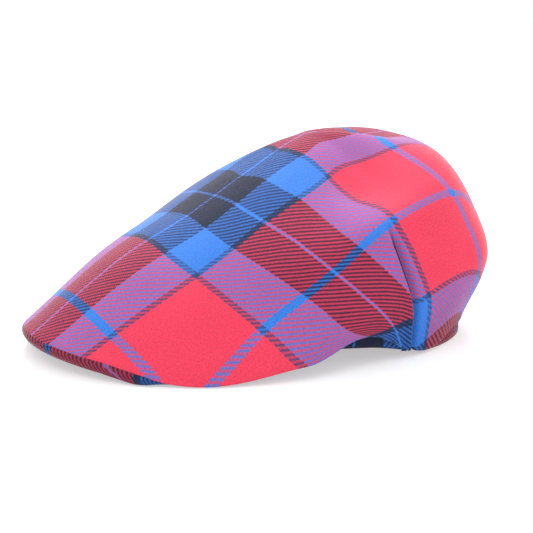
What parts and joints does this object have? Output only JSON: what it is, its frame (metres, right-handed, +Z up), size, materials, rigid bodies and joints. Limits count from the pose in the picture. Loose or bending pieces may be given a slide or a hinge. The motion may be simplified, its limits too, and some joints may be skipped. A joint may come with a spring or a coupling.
{
  "type": "flat cap",
  "caption": "Soft one-piece flat cap in checked twill wool, with a stiff peak sewn under its front, a dart on each side and a cloth band round the open head hole.",
  "frame": {"origin": "middle of the plan's box, on the surface that the cap rests on", "axes": "+Z up, +X toward the wearer's left, and the peak points along -Y"},
  "size_m": [0.2132, 0.2762, 0.1163],
  "materials": {
    "top_wool": "brushed wool twill in a red, blue and black tartan",
    "peak_wool": "the same wool twill, rolled round the peak's edge",
    "band_wool": "the same wool twill, cut as a straight strip"
  },
  "bodies": {
    "root": {"crown": "top_wool", "peak": "peak_wool", "band": "band_wool"}
  },
  "joints": []
}
